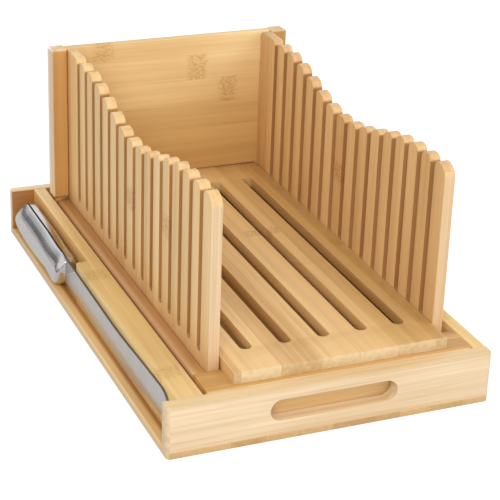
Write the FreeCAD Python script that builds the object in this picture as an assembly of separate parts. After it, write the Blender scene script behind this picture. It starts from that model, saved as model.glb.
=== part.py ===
"""Bread slicer guide: a bamboo tray that carries a lift-out slicing frame, a slotted board and a knife.

Frame: origin at the middle of the tray's underside, +X to the right, +Y to the back, +Z up. Millimetres.
"""
import FreeCAD, Part
import math
import os

V = FreeCAD.Vector

# ---- driving dimensions: tray -------------------------------------------------------------------
base_t = 4.3              # bottom plate
wall_h = 31.3             # walls above the bottom plate
front_wall_t = 9.5
side_wall_t = 9.0
back_wall_t = 8.0
corner_r = 3.0            # upright corners of the bottom plate and end walls
finger_slot_l = 87.0      # handle slot through the front wall
finger_slot_h = 15.0
finger_slot_z = 20.7      # middle of the slot above the table
blade_bay_w = 9.0         # open bay along the left side, front part
handle_bay_w = 17.5       # wider rear part of the bay
handle_bay_l = 139.0      # from the back wall forwards
divider_t = 9.0           # divider where it is thinnest
ledge_w = 12.0            # strips that carry the slicing frame
ledge_h = 6.8
magnet_d = 8.0            # discs that hold the blade against the divider
magnet_t = 3.0
magnet_z = 19.0
magnet_ys = (60.0, 150.0)   # behind the tray's front

# ---- driving dimensions: slicing frame ----------------------------------------------------------
frame_gap_left = 3.0      # divider to frame
frame_gap_right = 0.4
frame_gap_front = 2.2
frame_gap_back = 0.5
beam_proud = 0.2          # beam tops above the tray's rim
front_beam_w = 23.8
rear_beam_w = 17.0
beam_round = 2.5          # front top edge of the front beam
rail_w = 9.8              # left side rail between the beams
left_rail_drop = 2.2      # rail top below the beam tops
left_rail_bevel = 2.6     # how far its outer edge falls
right_rail_w = 8.7
right_rail_h = 11.4
rail_clear = 0.2

# ---- driving dimensions: guides -----------------------------------------------------------------
guide_t = 7.2
guide_inner = 149.8       # width between the two guides
guide_rise = 117.2        # guide tops above the beams
guide_dip = 18.8          # how far the tops sink in the middle
dip_half = 108.0          # half the length of the dip
guide_front_r = 9.0
guide_rear_r = 5.0
guide_end_clear = 0.3
slot_count = 15
slot_pitch = 18.0
slot_w = 5.6
slot_from_front = 17.2    # guide's front edge to the middle of the first slot
slot_floor = 6.0          # slot bottoms above the beams
tooth_round = 0.37        # share of a tooth that each rounded top corner takes
cut_past = 1.0            # cutters run this far past the guide's faces
pin_d = 4.0               # steel hinge pins
pin_in_beam = 12.0
pin_in_guide = 14.0
pin_clear = 0.05
fold_cover = 1.0          # board to the guides when these lie folded under it
fold_gap = 0.4            # between the guides when they lie folded, one on the other

# ---- driving dimensions: slotted board ----------------------------------------------------------
board_t = 7.6
board_gap_left = 1.6
board_gap_right = 0.4
board_setback = 2.7       # board's front edge behind the beam's
board_on_rear_beam = 5.6  # its rear edge lies under the panel
board_slot_count = 5
board_slot_w = 8.4
board_slot_pitch = 26.9
board_slot_front = 27.6   # board's front edge to the slots' front ends
board_slot_rear = 34.0
board_edge_r = 0.8

# ---- driving dimensions: back panel -------------------------------------------------------------
panel_t = 6.0
panel_over_board = 0.5
batten_w = 12.2
batten_d = 12.4
batten_overlap = 5.0      # batten reaches this far in front of the panel
batten_proud = 0.6        # batten tops above the panel and the guides
batten_groove = 3.0
batten_pin_wall = 0.4     # wood between the panel's edge and the batten's pin
batten_r = 1.2
batten_clear = 0.2
panel_pin_d = 4.0
panel_pin_depth = 12.0    # in the batten and in the beam alike
panel_pin_clear = 0.1
pin_end_clear = 1.0       # room below the pins' ends
panel_pin_behind = 3.9    # pin behind the beam's front face

# ---- driving dimensions: knife ------------------------------------------------------------------
knife_clear = 0.15        # blade to divider
blade_t = 1.6
heel = 14.0               # the blade runs this far into the grip
scallop_r = 3.2           # scallops along the cutting edge
scallop_h = 0.9
scallop_pitch = 5.0
scallop_start = 17.25     # grip's nose to the first scallop
scallop_count = 36
scallop_past = 1.0        # cutters run this far past the blade's faces
seam_t = 0.5              # parting line between the two grip shells
grip_t = 14.4
grip_l = 116.75
grip_h = 28.4             # top of the grip above the bottom plate
blade_l = 213.25          # from the grip's nose to the tip
blade_h = 27.6            # highest point of the spine above the bottom plate
knife_front_clear = 10.0  # tip to the front wall
grip_back_clear = 4.0     # end of the grip to the back wall
grip_edge_r = 3.0
tang_l = 84.0
tang_h = 12.0

# ---- driving dimensions: fixings ----------------------------------------------------------------
dowel_d = 6.0
dowel_in_beam = 14.0
dowel_in_rail = 16.0
dowel_rise = 6.0          # dowels above the frame's underside
wall_dowel_d = 5.0
wall_dowel_short = 5.0    # part that sits in the end wall
wall_dowel_long = 15.0
screw_d = 3.2
screw_head_d = 6.4
screw_head_h = 2.4
screw_l = 16.0
screw_beside_slot = 18.0  # end-wall screws stand this far outside the handle slot
screws_per_side = 3

# ---- places worked out from the sizes above -----------------------------------------------------
frame_w = rail_w + 2 * rail_clear + 2 * guide_t + guide_inner + right_rail_w
tray_w = handle_bay_w + divider_t + frame_gap_left + frame_w + frame_gap_right + side_wall_t
tray_d = front_wall_t + knife_front_clear + blade_l + grip_l + grip_back_clear + back_wall_t
x_left, x_right = -tray_w / 2, tray_w / 2
y_front, y_back = -tray_d / 2, tray_d / 2
rim_z = base_t + wall_h
y_in_front = y_front + front_wall_t
y_in_back = y_back - back_wall_t
x_in_right = x_right - side_wall_t
x_div_right = x_left + handle_bay_w + divider_t
ledge_top = base_t + ledge_h

beam_top = rim_z + beam_proud
frame_left = x_div_right + frame_gap_left
frame_right = x_in_right - frame_gap_right
fb_front = y_in_front + frame_gap_front
fb_rear = fb_front + front_beam_w
rb_rear = y_in_back - frame_gap_back
rb_front = rb_rear - rear_beam_w

gl_out = frame_left + rail_w + rail_clear
gl_in = gl_out + guide_t
gr_in = gl_in + guide_inner
gr_out = gr_in + guide_t
g_front = fb_rear + guide_end_clear
g_rear = rb_front - guide_end_clear
guide_top = beam_top + guide_rise
right_pin_z = beam_top - fold_cover - guide_t / 2
left_pin_z = right_pin_z - fold_gap - guide_t

board_left = gl_in + board_gap_left
board_right = gr_in - board_gap_right
board_front = fb_front + board_setback
board_rear = rb_front + board_on_rear_beam
board_top = beam_top + board_t

batten_front = rb_front - batten_overlap
batten_z = guide_top + batten_proud
knife_x = x_left + blade_bay_w - knife_clear - blade_t / 2

parts = {}


# ---- helpers ------------------------------------------------------------------------------------
def block(x0, x1, y0, y1, z0, z1):
    """A box between two corners."""
    return Part.makeBox(x1 - x0, y1 - y0, z1 - z0, V(x0, y0, z0))


def rod_y(x, y0, y1, z, d):
    """A round bar along Y."""
    return Part.makeCylinder(d / 2, y1 - y0, V(x, y0, z), V(0, 1, 0))


def rod_z(x, y, z0, z1, d):
    """A round bar along Z."""
    return Part.makeCylinder(d / 2, z1 - z0, V(x, y, z0), V(0, 0, 1))


def eased(shape, radius, wanted):
    """Rounds the edges that wanted(edge box) picks."""
    return shape.makeFillet(radius, [e for e in shape.Edges if wanted(e.BoundBox)])


def long_x(y, z):
    """Picks the edges along X at this Y and Z."""
    def wanted(b):
        return b.XLength > 1 and b.YLength + b.ZLength < 0.01 and math.hypot(b.YMin - y, b.ZMin - z) < 0.01
    return wanted


def upright(*corners):
    """Picks the upright edges at the given X, Y corners."""
    def wanted(b):
        return b.ZLength > 1 and any(math.hypot(b.Center.x - x, b.Center.y - y) < 0.01 for x, y in corners)
    return wanted


def prism_x(outline, x0, x1):
    """A solid between two X planes, from edges drawn in the YZ plane at x0."""
    return Part.Face(Part.Wire(outline)).extrude(V(x1 - x0, 0, 0))


def line(a, b):
    return Part.LineSegment(a, b).toShape()


def arc(a, m, b):
    return Part.Arc(a, m, b).toShape()


def stadium(length, width, depth, across, along):
    """A slot cutter centred on the origin: its length lies along 'along', its depth along 'across'."""
    r = width / 2
    bar = Part.makeBox(length - width, width, depth, V(-(length - width) / 2, -r, -depth / 2))
    ends = [Part.makeCylinder(r, depth, V(s * (length - width) / 2, 0, -depth / 2)) for s in (-1, 1)]
    cutter = bar.fuse(ends).removeSplitter()
    turn = FreeCAD.Rotation(along, across.cross(along), across, "XZY")
    return cutter.transformGeometry(FreeCAD.Placement(V(0, 0, 0), turn).toMatrix())


# ---- fixings that other pieces are bored for ----------------------------------------------------
def wood_screw(x, y):
    """A countersunk screw driven up through the bottom plate."""
    head = Part.makeCone(screw_head_d / 2, screw_d / 2, screw_head_h, V(x, y, 0))
    return head.fuse(rod_z(x, y, screw_head_h, screw_l, screw_d)).removeSplitter()


def spread(low, high, count):
    """Evenly spaced places, half a step in from each end."""
    step = (high - low) / count
    return [low + step * (i + 0.5) for i in range(count)]


x_wall_right = x_in_right + side_wall_t / 2
x_wall_div = x_div_right - divider_t / 2
end_screw_x = finger_slot_l / 2 + screw_beside_slot
end_wall_ys = (y_front + front_wall_t / 2, y_back - back_wall_t / 2)
side_screw_ys = spread(y_in_front, y_in_back, screws_per_side)
screw_places = [(x, y) for x in (-end_screw_x, end_screw_x) for y in end_wall_ys]
screw_places += [(x, y) for x in (x_wall_div, x_wall_right) for y in side_screw_ys]
base_screws = [wood_screw(x, y) for x, y in screw_places]

wall_mid_z = base_t + wall_h / 2
wall_dowels = []
for x in (x_wall_div, x_wall_right):
    for y0, y1 in ((y_in_front - wall_dowel_short, y_in_front + wall_dowel_long),
                   (y_in_back - wall_dowel_long, y_in_back + wall_dowel_short)):
        wall_dowels.append(rod_y(x, y0, y1, wall_mid_z, wall_dowel_d))

magnets = []
for y in magnet_ys:
    seat = V(x_left + blade_bay_w, y_front + y, magnet_z)
    magnets.append(Part.makeCylinder(magnet_d / 2, magnet_t, seat, V(1, 0, 0)))

# ---- tray ---------------------------------------------------------------------------------------
outer_corners = [(x, y) for x in (x_left, x_right) for y in (y_front, y_back)]
plate = eased(block(x_left, x_right, y_front, y_back, 0, base_t), corner_r, upright(*outer_corners))
parts["base_plate"] = plate.cut(base_screws)

front_wall = block(x_left, x_right, y_front, y_in_front, base_t, rim_z)
front_wall = eased(front_wall, corner_r, upright((x_left, y_front), (x_right, y_front)))
finger_slot = stadium(finger_slot_l, finger_slot_h, 4 * front_wall_t, V(0, 1, 0), V(1, 0, 0))
finger_slot.translate(V(0, y_front, finger_slot_z))
parts["front_wall"] = front_wall.cut([finger_slot] + base_screws + wall_dowels)

back_wall = block(x_left, x_right, y_in_back, y_back, base_t, rim_z)
back_wall = eased(back_wall, corner_r, upright((x_left, y_back), (x_right, y_back)))
parts["back_wall"] = back_wall.cut(base_screws + wall_dowels)

right_wall = block(x_in_right, x_right, y_in_front, y_in_back, base_t, rim_z)
parts["right_wall"] = right_wall.cut(base_screws + wall_dowels)

divider = block(x_left + blade_bay_w, x_div_right, y_in_front, y_in_back, base_t, rim_z)
handle_bay = block(x_left, x_left + handle_bay_w, y_in_back - handle_bay_l, y_in_back, base_t, rim_z)
parts["divider"] = divider.cut([handle_bay] + base_screws + wall_dowels + magnets)
parts["knife_magnets"] = Part.makeCompound(magnets)

parts["front_ledge"] = block(x_div_right, x_in_right, y_in_front, y_in_front + ledge_w, base_t, ledge_top)
parts["rear_ledge"] = block(x_div_right, x_in_right, y_in_back - ledge_w, y_in_back, base_t, ledge_top)
parts["base_screws"] = Part.makeCompound(base_screws)
parts["wall_dowels"] = Part.makeCompound(wall_dowels)


# ---- slicing frame ------------------------------------------------------------------------------
def hinge_pins(x, z):
    """The two pins of one guide, front and rear."""
    return [rod_y(x, fb_rear - pin_in_beam, g_front + pin_in_guide, z, pin_d),
            rod_y(x, g_rear - pin_in_guide, rb_front + pin_in_beam, z, pin_d)]


def hinge_bores(x, z):
    """The holes those pins sit in."""
    d = pin_d + 2 * pin_clear
    return [rod_y(x, fb_rear - pin_in_beam, g_front + pin_in_guide, z, d),
            rod_y(x, g_rear - pin_in_guide, rb_front + pin_in_beam, z, d)]


left_pin_x, right_pin_x = gl_out + guide_t / 2, gr_out - guide_t / 2
bores = hinge_bores(left_pin_x, left_pin_z) + hinge_bores(right_pin_x, right_pin_z)
parts["left_hinge_pins"] = Part.makeCompound(hinge_pins(left_pin_x, left_pin_z))
parts["right_hinge_pins"] = Part.makeCompound(hinge_pins(right_pin_x, right_pin_z))

rail_top = beam_top - left_rail_drop
right_rail_left = gr_out + rail_clear
frame_dowels = []
for x in (frame_left + rail_w / 2, (right_rail_left + frame_right) / 2):
    z = ledge_top + dowel_rise
    frame_dowels.append(rod_y(x, fb_rear - dowel_in_beam, fb_rear + dowel_in_rail, z, dowel_d))
    frame_dowels.append(rod_y(x, rb_front - dowel_in_rail, rb_front + dowel_in_beam, z, dowel_d))
parts["frame_dowels"] = Part.makeCompound(frame_dowels)

panel_pin_y = rb_front + panel_pin_behind
panel_pin_away = batten_clear + batten_groove + batten_pin_wall + panel_pin_d / 2
panel_pin_xs = [gl_out - panel_pin_away, gr_out + panel_pin_away]
panel_bore_d = panel_pin_d + 2 * panel_pin_clear
panel_pin_bores = [rod_z(x, panel_pin_y, beam_top - panel_pin_depth - pin_end_clear, beam_top, panel_bore_d)
                   for x in panel_pin_xs]

front_beam = block(frame_left, frame_right, fb_front, fb_rear, ledge_top, beam_top)
front_beam = eased(front_beam, beam_round, long_x(fb_front, beam_top))
parts["front_beam"] = front_beam.cut(bores + frame_dowels)

rear_beam = block(frame_left, frame_right, rb_front, rb_rear, ledge_top, beam_top)
parts["rear_beam"] = rear_beam.cut(bores + frame_dowels + panel_pin_bores)

rail_corners = [(frame_left, ledge_top), (frame_left + rail_w, ledge_top),
                (frame_left + rail_w, rail_top), (frame_left, rail_top - left_rail_bevel)]
rail_points = [V(x, fb_rear, z) for x, z in rail_corners]
rail_face = Part.Face(Part.makePolygon(rail_points + rail_points[:1]))
parts["left_rail"] = rail_face.extrude(V(0, rb_front - fb_rear, 0)).cut(frame_dowels)
right_rail = block(right_rail_left, frame_right, fb_rear, rb_front, ledge_top, ledge_top + right_rail_h)
parts["right_rail"] = right_rail.cut(frame_dowels)


# ---- guides -------------------------------------------------------------------------------------
def crown(y):
    """Height of a guide's top edge: level at both ends, with a soft dip in the middle."""
    away = min(abs(y - (g_front + g_rear) / 2) / dip_half, 1.0)
    return guide_top - guide_dip * (1 + math.cos(math.pi * away)) / 2


def tooth_corner(x, wall_y, away):
    """Ends and middle of the arc over a tooth's top corner; away is -1 or 1, from the slot into the tooth."""
    corner = V(x, wall_y, crown(wall_y))
    reach_y = wall_y + away * tooth_round * (slot_pitch - slot_w)
    on_top = V(x, reach_y, crown(reach_y))
    along = on_top - corner
    on_wall = corner - V(0, 0, along.Length)
    bisector = (along.normalize() + V(0, 0, -1)).normalize()
    half_angle = along.getAngle(V(0, 0, -1)) / 2
    reach = (on_wall - corner).Length
    to_arc = reach / math.cos(half_angle) - reach * math.tan(half_angle)
    return on_wall, corner + bisector * to_arc, on_top


def slot_cutter(y, x, x_end):
    """A knife slot with a round bottom, flared at the top so that the teeth beside it end rounded."""
    floor = beam_top + slot_floor
    over = guide_top + cut_past
    wall_1, arc_1, top_1 = tooth_corner(x, y - slot_w / 2, -1)
    wall_2, arc_2, top_2 = tooth_corner(x, y + slot_w / 2, 1)
    foot_1, foot_2 = V(x, y - slot_w / 2, floor + slot_w / 2), V(x, y + slot_w / 2, floor + slot_w / 2)
    over_1, over_2 = V(x, top_1.y, over), V(x, top_2.y, over)
    outline = [
        arc(foot_1, V(x, y, floor), foot_2),
        line(foot_2, wall_2),
        arc(wall_2, arc_2, top_2),
        line(top_2, over_2),
        line(over_2, over_1),
        line(over_1, top_1),
        arc(top_1, arc_1, wall_1),
        line(wall_1, foot_1),
    ]
    return prism_x(outline, x, x_end)


def guide(x_out, x_in, pin_z):
    """A slotted side guide that stands on hinge pins, its foot rounded about them."""
    x0, x1 = min(x_out, x_in), max(x_out, x_in)
    mid = (g_front + g_rear) / 2
    dip_count = 13
    dip = Part.BSplineCurve()
    ys = [mid - dip_half + 2 * dip_half * i / (dip_count - 1) for i in range(dip_count)]
    level = V(0, 1, 0)
    dip.interpolate(Points=[V(x0, y, crown(y)) for y in ys], InitialTangent=level, FinalTangent=level)
    rf, rr = guide_front_r, guide_rear_r
    top = guide_top
    bend = 1 - math.sqrt(0.5)
    outline = [
        line(V(x0, g_front, pin_z), V(x0, g_front, top - rf)),
        arc(V(x0, g_front, top - rf), V(x0, g_front + rf * bend, top - rf * bend), V(x0, g_front + rf, top)),
        line(V(x0, g_front + rf, top), V(x0, ys[0], top)),
        dip.toShape(),
        line(V(x0, ys[-1], top), V(x0, g_rear - rr, top)),
        arc(V(x0, g_rear - rr, top), V(x0, g_rear - rr * bend, top - rr * bend), V(x0, g_rear, top - rr)),
        line(V(x0, g_rear, top - rr), V(x0, g_rear, pin_z)),
        line(V(x0, g_rear, pin_z), V(x0, g_front, pin_z)),
    ]
    foot = rod_y((x0 + x1) / 2, g_front, g_rear, pin_z, guide_t)
    body = prism_x(outline, x0, x1).fuse(foot).removeSplitter()
    slots = [slot_cutter(g_front + slot_from_front + i * slot_pitch, x0 - cut_past, x1 + cut_past)
             for i in range(slot_count)]
    return body.cut(slots + bores)


parts["left_guide"] = guide(gl_out, gl_in, left_pin_z)
parts["right_guide"] = guide(gr_out, gr_in, right_pin_z)

# ---- slotted board ------------------------------------------------------------------------------
board = block(board_left, board_right, board_front, board_rear, beam_top, board_top)
board = eased(board, board_edge_r, lambda b: b.ZMin > board_top - 0.01)
slot_l = board_rear - board_slot_rear - (board_front + board_slot_front)
slot_mid_y = board_front + board_slot_front + slot_l / 2
board_slots = []
for i in range(board_slot_count):
    slot = stadium(slot_l, board_slot_w, 4 * board_t, V(0, 0, 1), V(0, 1, 0))
    slot_x = (board_left + board_right) / 2 + (i - (board_slot_count - 1) / 2) * board_slot_pitch
    slot.translate(V(slot_x, slot_mid_y, board_top))
    board_slots.append(slot)
parts["board"] = board.cut(board_slots)

# ---- back panel ---------------------------------------------------------------------------------
panel_left, panel_right = gl_out - batten_clear - batten_groove, gr_out + batten_clear + batten_groove
panel = block(panel_left, panel_right, rb_front, rb_front + panel_t, board_top + panel_over_board,
              batten_z - batten_proud)
parts["back_panel"] = panel
panel_pins = [rod_z(x, panel_pin_y, beam_top - panel_pin_depth, beam_top + panel_pin_depth, panel_pin_d)
              for x in panel_pin_xs]
parts["panel_pins"] = Part.makeCompound(panel_pins)


def batten(x0):
    """An end batten, grooved for the panel and bored for its pin."""
    bar = block(x0, x0 + batten_w, batten_front, batten_front + batten_d, beam_top, batten_z)
    bar = bar.makeFillet(batten_r, [e for e in bar.Edges if e.BoundBox.ZMax > beam_top + 1])
    return bar.cut([panel] + panel_pins)


parts["left_batten"] = batten(gl_out - batten_clear - batten_w)
parts["right_batten"] = batten(gr_out + batten_clear)

# ---- knife --------------------------------------------------------------------------------------
# Outlines are drawn on the knife's middle plane, from the grip's nose at the bottom plate's height.
# The grip's is in shares of its own length, backwards, and of its height; the blade's is in shares
# of the blade's length, forwards, and of its height.
grip_nose = y_in_back - grip_back_clear - grip_l
blade_edge_shares = [(-heel / blade_l, 0.192), (0.397, 0.156), (0.598, 0.101), (0.775, 0.167), (0.857, 0.236),
                     (0.933, 0.32), (0.984, 0.478), (1, 0.652)]
blade_spine_shares = [(1, 0.652), (0.993, 0.82), (0.968, 0.967), (0.924, 1), (0.852, 0.978), (0.775, 0.957),
                      (0.689, 0.92), (0.608, 0.888), (0.359, 0.877), (0.024, 0.928), (-heel / blade_l, 0.935)]
grip_shares = [(0, 0.7), (0.008, 0.88), (0.03, 0.965), (0.075, 1), (0.14, 0.985), (0.44, 0.968), (0.773, 0.965),
               (0.924, 0.915), (0.989, 0.725), (1, 0.507), (0.978, 0.282), (0.906, 0.127), (0.806, 0.063),
               (0.676, 0.035), (0.521, 0.053), (0.349, 0.106), (0.229, 0.1), (0.118, 0.034), (0.064, 0.125),
               (0.027, 0.31), (0.006, 0.53)]
blade_edge = [(-along * blade_l, up * blade_h) for along, up in blade_edge_shares]
blade_spine = [(-along * blade_l, up * blade_h) for along, up in blade_spine_shares]
grip_rim = [(along * grip_l, up * grip_h) for along, up in grip_shares]


def knife_points(x, places):
    """Points on the plane at x for (behind the nose, above the plate) pairs."""
    return [V(x, grip_nose + y, base_t + z) for y, z in places]


def curve(points, closed=False):
    """A smooth curve through the points."""
    spline = Part.BSplineCurve()
    spline.interpolate(Points=points, PeriodicFlag=closed)
    return spline.toShape()


def edge_height(y):
    """Height of the cutting edge at y behind the nose, between the listed places."""
    for (y1, z1), (y0, z0) in zip(blade_edge, blade_edge[1:]):
        if y0 <= y <= y1:
            return z0 + (z1 - z0) * (y - y0) / (y1 - y0)


blade_x = knife_x - blade_t / 2
edge_curve = curve(knife_points(blade_x, blade_edge))
spine_curve = curve(knife_points(blade_x, blade_spine))
heel_line = line(*knife_points(blade_x, (blade_spine[-1], blade_edge[0])))
blade = prism_x([edge_curve, spine_curve, heel_line], blade_x, blade_x + blade_t)
scallop_sink = scallop_r - scallop_h
scallops = []
for i in range(scallop_count):
    y = -scallop_start - i * scallop_pitch
    low = V(blade_x - scallop_past, grip_nose + y, base_t + edge_height(y) - scallop_sink)
    scallops.append(Part.makeCylinder(scallop_r, blade_t + 2 * scallop_past, low, V(1, 0, 0)))
blade = blade.cut(scallops)
tang_z = base_t + (blade_edge[0][1] + blade_spine[-1][1]) / 2
tang = block(knife_x - seam_t / 2, knife_x + seam_t / 2, grip_nose, grip_nose + heel + tang_l,
             tang_z - tang_h / 2, tang_z + tang_h / 2)
parts["knife_blade"] = blade.fuse(tang).removeSplitter()


def grip(side):
    """One grip shell; side is -1 for the left and 1 for the right."""
    x_inner, x_outer = knife_x + side * seam_t / 2, knife_x + side * grip_t / 2
    shell = prism_x([curve(knife_points(x_inner, grip_rim), closed=True)], x_inner, x_outer)
    rim = [e for e in shell.Edges if abs(e.BoundBox.XMin - x_outer) + abs(e.BoundBox.XMax - x_outer) < 0.01]
    return shell.makeFillet(grip_edge_r, rim).cut(blade)


parts["left_grip"] = grip(-1)
parts["right_grip"] = grip(1)

# ---- files --------------------------------------------------------------------------------------
os.makedirs("parts", exist_ok=True)
for name, shape in parts.items():
    shape.exportStep(f"parts/{name}.step")
    print(name, len(shape.Solids), round(shape.Volume), shape.isValid())
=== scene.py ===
"""Bread slicer guide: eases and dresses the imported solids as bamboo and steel, and sets the studio.

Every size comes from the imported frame, in metres: +X right, +Y back, +Z up, the origin under the
tray's middle. The lengths in a finish are in millimetres.
"""
from __future__ import annotations

import logging
import math
from contextlib import contextmanager
from dataclasses import dataclass
from enum import Enum
from typing import Callable, Iterable, Iterator, Optional, Sequence, Union

import bmesh
import bpy
from mathutils import Matrix, Vector


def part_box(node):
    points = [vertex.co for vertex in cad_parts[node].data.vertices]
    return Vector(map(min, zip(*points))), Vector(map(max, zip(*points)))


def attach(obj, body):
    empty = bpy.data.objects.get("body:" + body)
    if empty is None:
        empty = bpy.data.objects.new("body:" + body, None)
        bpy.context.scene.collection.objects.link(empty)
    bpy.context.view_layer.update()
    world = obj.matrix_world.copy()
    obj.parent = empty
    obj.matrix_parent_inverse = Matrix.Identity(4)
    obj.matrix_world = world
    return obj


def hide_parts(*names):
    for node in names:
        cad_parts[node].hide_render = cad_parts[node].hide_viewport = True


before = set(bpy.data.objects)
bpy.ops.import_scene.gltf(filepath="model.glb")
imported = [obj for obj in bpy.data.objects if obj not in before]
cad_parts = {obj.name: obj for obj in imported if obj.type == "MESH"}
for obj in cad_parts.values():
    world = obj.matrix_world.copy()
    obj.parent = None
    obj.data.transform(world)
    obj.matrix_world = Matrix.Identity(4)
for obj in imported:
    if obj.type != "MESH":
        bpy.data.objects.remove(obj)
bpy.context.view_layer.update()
LOG = logging.getLogger("bread_slicer")
MM = 0.001
TINY = 0.00001

Piece = bpy.types.Object
Material = bpy.types.Material
Socket = bpy.types.NodeSocket
Colour = tuple[float, float, float]
Span = Optional[tuple[float, float, float]]
Outline = Sequence[tuple[float, float]]
EdgeTest = Callable[[Vector, Vector], bool]


# ---- shader arithmetic --------------------------------------------------------------------------
def arithmetic(operation: str, swapped: bool = False) -> Callable[[Value, Number], Value]:
    """Makes one of Value's operators.

    Args:
        operation: the Math node's operation.
        swapped: whether the other number comes first.

    Returns:
        A method that adds the node over two numbers and returns its result.
    """
    def method(self: Value, other: Number) -> Value:
        """Adds the Math node."""
        return self.maths(operation, *((other, self) if swapped else (self, other)))
    return method


@dataclass(frozen=True, eq=False)
class Value:
    """A number in a material: arithmetic on it adds Math nodes.

    Attributes:
        shader: the material that the number belongs to.
        socket: the output that carries it.
    """

    shader: Shader
    socket: Socket

    __add__, __radd__ = arithmetic("ADD"), arithmetic("ADD", True)
    __sub__, __rsub__ = arithmetic("SUBTRACT"), arithmetic("SUBTRACT", True)
    __mul__, __rmul__ = arithmetic("MULTIPLY"), arithmetic("MULTIPLY", True)
    __truediv__, __rtruediv__ = arithmetic("DIVIDE"), arithmetic("DIVIDE", True)
    __pow__, __rpow__ = arithmetic("POWER"), arithmetic("POWER", True)
    most = arithmetic("MAXIMUM")

    def maths(self, operation: str, *terms: Number) -> Value:
        """Adds one Math node over the terms and returns its result."""
        node = self.shader.node("ShaderNodeMath", {"operation": operation}, dict(enumerate(terms)))
        return Value(self.shader, node.outputs[0])

    def __abs__(self) -> Value:
        """The size of the number."""
        return self.maths("ABSOLUTE", self)

    def floor(self) -> Value:
        """The whole number below."""
        return self.maths("FLOOR", self)

    def fraction(self) -> Value:
        """What is left above the whole number."""
        return self.maths("FRACT", self)

    def ramp(self, low: float, high: float) -> Value:
        """A smooth rise from 0 at low to 1 at high; low above high makes it fall.

        Args:
            low: the number at which the result is 0.
            high: the number at which the result is 1.

        Returns:
            The eased share between them.
        """
        inputs = {"Value": self, 1: min(low, high), 2: max(low, high)}
        node = self.shader.node("ShaderNodeMapRange", {"interpolation_type": "SMOOTHSTEP"}, inputs)
        share = Value(self.shader, node.outputs[0])
        return share if low <= high else 1.0 - share


Number = Union[int, float, Value]
Given = Union[Number, Colour, Socket]


def linear(code: str) -> Colour:
    """Turns a colour code such as "E8C88A" into linear light.

    Args:
        code: six hexadecimal digits.

    Returns:
        Red, green and blue from 0 to 1.
    """
    shares = [int(code[i:i + 2], 16) / 255 for i in (0, 2, 4)]
    return tuple(c / 12.92 if c <= 0.04045 else ((c + 0.055) / 1.055) ** 2.4 for c in shares)


def toned(colour: Colour, ratio: Colour, most: float = 0.95) -> Colour:
    """A colour times a ratio, and no brighter than most."""
    return tuple(min(c * r, most) for c, r in zip(colour, ratio))


class Nodes:
    """The nodes of one material or world."""

    def __init__(self, tree: bpy.types.NodeTree) -> None:
        """Empties the node tree."""
        self.tree = tree
        tree.nodes.clear()

    def node(self, kind: str, settings: dict, inputs: dict) -> bpy.types.Node:
        """Adds a node.

        Args:
            kind: the node's type.
            settings: properties, set before the sockets. A ramp's stops are (place, colour) pairs,
                the first at 0 and the last at 1.
            inputs: a number, colour, Value or socket for each input, by name or place.

        Returns:
            The node.
        """
        node = self.tree.nodes.new(kind)
        for key, setting in settings.items():
            if key != "stops":
                setattr(node, key, setting)
                continue
            elements = node.color_ramp.elements
            elements[0].color, elements[1].color = (*setting[0][1], 1.0), (*setting[-1][1], 1.0)
            for place, colour in setting[1:-1]:
                elements.new(place).color = (*colour, 1.0)
        for key, given in inputs.items():
            self.give(node.inputs[key], given)
        return node

    def give(self, socket: Socket, given: Given) -> None:
        """Links or sets one input; a colour gets an alpha of 1.

        Args:
            socket: the input.
            given: what it gets.
        """
        given = given.socket if isinstance(given, Value) else given
        if isinstance(given, Socket):
            self.tree.links.new(given, socket)
        else:
            socket.default_value = (*given, 1.0) if isinstance(given, tuple) else given


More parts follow.
